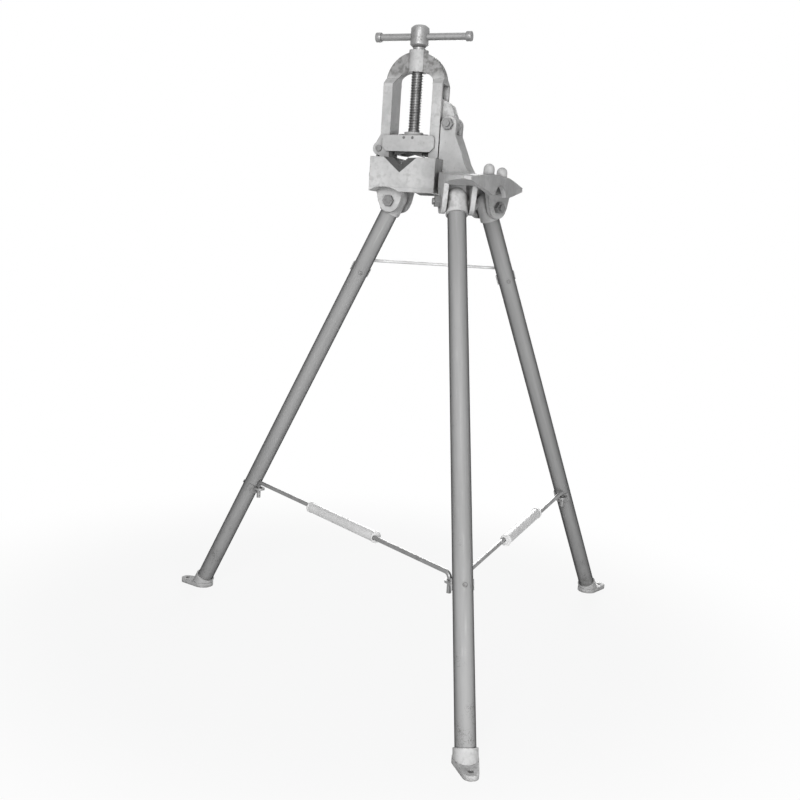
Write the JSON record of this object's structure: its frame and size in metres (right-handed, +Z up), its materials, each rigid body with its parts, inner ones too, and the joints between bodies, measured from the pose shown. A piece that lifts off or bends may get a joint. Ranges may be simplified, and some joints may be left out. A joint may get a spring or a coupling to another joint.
{
  "type": "tripod pipe vise stand",
  "caption": "Folding tripod stand with a hinged-yoke pipe vise, screw jaw, latch, bending noses and sliding stays.",
  "frame": {"origin": "middle of the footprint, on the floor", "axes": "+Z up, pipe axis along Y, vise towards -X, bending noses towards +X"},
  "size_m": [0.848, 0.9752, 1.1727],
  "materials": {
    "cast_enamel": "light grey enamel over rough sand casting",
    "tube_steel": "satin grey painted steel pipe",
    "screw_steel": "oiled dark steel",
    "handle_steel": "plain turned steel, dull from handling",
    "jaw_steel": "hardened blackened tool steel",
    "fastener_zinc": "dull zinc plated",
    "saddle_steel": "pressed steel, dull zinc plated",
    "stay_rod_steel": "dark drawn rod",
    "sleeve_zinc": "bright zinc plated"
  },
  "bodies": {
    "head": {"head_casting": "cast_enamel", "lower_jaw": "jaw_steel", "lower_jaw_screws": "fastener_zinc", "yoke_hinge_pin": "fastener_zinc", "yoke_hinge_nut": "fastener_zinc", "left_pivot_bolt": "fastener_zinc", "left_pivot_nut": "fastener_zinc", "front_pivot_bolt": "fastener_zinc", "front_pivot_nut": "fastener_zinc", "right_pivot_bolt": "fastener_zinc", "right_pivot_nut": "fastener_zinc"},
    "yoke": {"yoke": "cast_enamel", "latch_pin": "fastener_zinc"},
    "latch": {"latch_hook": "cast_enamel"},
    "jaw": {"crosshead": "cast_enamel", "upper_jaw": "jaw_steel", "upper_jaw_screws": "fastener_zinc", "retaining_pins": "fastener_zinc"},
    "screw": {"screw": "screw_steel"},
    "handle": {"handle_bar": "handle_steel", "handle_ends": "handle_steel"},
    "left_leg": {"left_leg_socket": "cast_enamel", "left_leg_tube": "tube_steel", "left_shoe": "cast_enamel", "left_stay_saddle": "saddle_steel", "left_stay_rivet": "fastener_zinc", "left_tie_saddle": "saddle_steel", "left_tie_rivet": "fastener_zinc"},
    "front_leg": {"front_leg_socket": "cast_enamel", "front_leg_tube": "tube_steel", "front_shoe": "cast_enamel", "front_stay_saddle": "saddle_steel", "front_stay_rivet": "fastener_zinc"},
    "right_leg": {"right_leg_socket": "cast_enamel", "right_leg_tube": "tube_steel", "right_shoe": "cast_enamel", "right_stay_saddle": "saddle_steel", "right_stay_rivet": "fastener_zinc", "right_tie_saddle": "saddle_steel", "right_tie_rivet": "fastener_zinc"},
    "left_stay_front": {"left_stay_front_rod": "stay_rod_steel"},
    "left_stay_middle": {"left_stay_sleeve": "sleeve_zinc", "left_stay_caps": "sleeve_zinc"},
    "left_stay_far": {"left_stay_far_rod": "stay_rod_steel"},
    "right_stay_front": {"right_stay_front_rod": "stay_rod_steel"},
    "right_stay_middle": {"right_stay_sleeve": "sleeve_zinc", "right_stay_caps": "sleeve_zinc"},
    "right_stay_far": {"right_stay_far_rod": "stay_rod_steel"},
    "tie": {"tie_rod": "sleeve_zinc", "tie_rod_stop": "sleeve_zinc"}
  },
  "joints": [
    {"name": "yoke_open", "type": "hinge", "parent": "head", "child": "yoke", "pos_m": [0.138, 0, 0.994], "axis": [0, 1, 0], "range_deg": [0, 95]},
    {"name": "latch_swing", "type": "hinge", "parent": "yoke", "child": "latch", "pos_m": [0.001, 0, 0.947], "axis": [0, 1, 0], "range_deg": [0, 40]},
    {"name": "jaw_slide", "type": "slide", "parent": "yoke", "child": "jaw", "axis": [0, 0, 1], "range_m": [0, 0.06]},
    {"name": "screw_turn", "type": "hinge", "parent": "jaw", "child": "screw", "pos_m": [0.062, 0, 0.972], "axis": [0, 0, 1], "range_deg": [0, 4320]},
    {"name": "handle_slide", "type": "slide", "parent": "screw", "child": "handle", "axis": [1, 0, 0], "range_m": [-0.074, 0.06]},
    {"name": "front_leg_fold", "type": "hinge", "parent": "head", "child": "front_leg", "pos_m": [0.1895, -0.09093, 0.85], "axis": [0.866, 0.5, 0], "range_deg": [0, 19.5]},
    {"name": "left_leg_fold", "type": "hinge", "parent": "head", "child": "left_leg", "pos_m": [0.032, 0, 0.85], "axis": [0, -1, 0], "range_deg": [0, 19.5]},
    {"name": "right_leg_fold", "type": "hinge", "parent": "head", "child": "right_leg", "pos_m": [0.1895, 0.09093, 0.85], "axis": [-0.866, 0.5, 0], "range_deg": [0, 19.5]},
    {"name": "left_stay_swing", "type": "hinge", "parent": "front_leg", "child": "left_stay_front", "pos_m": [0.30586, -0.33136, 0.24437], "axis": [0.866, 0.5, 0], "range_deg": [-19.5, 0]},
    {"name": "left_sleeve_slide", "type": "slide", "parent": "left_stay_front", "child": "left_stay_middle", "axis": [0.866, -0.5, 0], "range_m": [0, 0.18862]},
    {"name": "left_rod_slide", "type": "slide", "parent": "left_stay_middle", "child": "left_stay_far", "axis": [0.866, -0.5, 0], "range_m": [0, 0.18862]},
    {"name": "right_stay_swing", "type": "hinge", "parent": "front_leg", "child": "right_stay_front", "pos_m": [0.33113, -0.31192, 0.24437], "axis": [0.866, 0.5, 0], "range_deg": [-19.5, 0]},
    {"name": "right_sleeve_slide", "type": "slide", "parent": "right_stay_front", "child": "right_stay_middle", "axis": [0, -1, 0], "range_m": [0, 0.18862]},
    {"name": "right_rod_slide", "type": "slide", "parent": "right_stay_middle", "child": "right_stay_far", "axis": [0, -1, 0], "range_m": [0, 0.18862]},
    {"name": "tie_swing", "type": "hinge", "parent": "left_leg", "child": "tie", "pos_m": [-0.04215, 0.02425, 0.72919], "axis": [0, -1, 0], "range_deg": [-19.5, 0]}
  ],
  "couplings": [
    {"joint": "jaw_slide", "follows": "screw_turn", "m_per_rad": 0.00079577},
    {"joint": "left_leg_fold", "follows": "front_leg_fold", "ratio": 1},
    {"joint": "right_leg_fold", "follows": "front_leg_fold", "ratio": 1},
    {"joint": "left_stay_swing", "follows": "front_leg_fold", "ratio": -1},
    {"joint": "left_sleeve_slide", "follows": "front_leg_fold", "m_per_rad": 0.5542},
    {"joint": "left_rod_slide", "follows": "front_leg_fold", "m_per_rad": 0.5542},
    {"joint": "right_stay_swing", "follows": "front_leg_fold", "ratio": -1},
    {"joint": "right_sleeve_slide", "follows": "front_leg_fold", "m_per_rad": 0.5542},
    {"joint": "right_rod_slide", "follows": "front_leg_fold", "m_per_rad": 0.5542},
    {"joint": "tie_swing", "follows": "front_leg_fold", "ratio": -1}
  ]
}
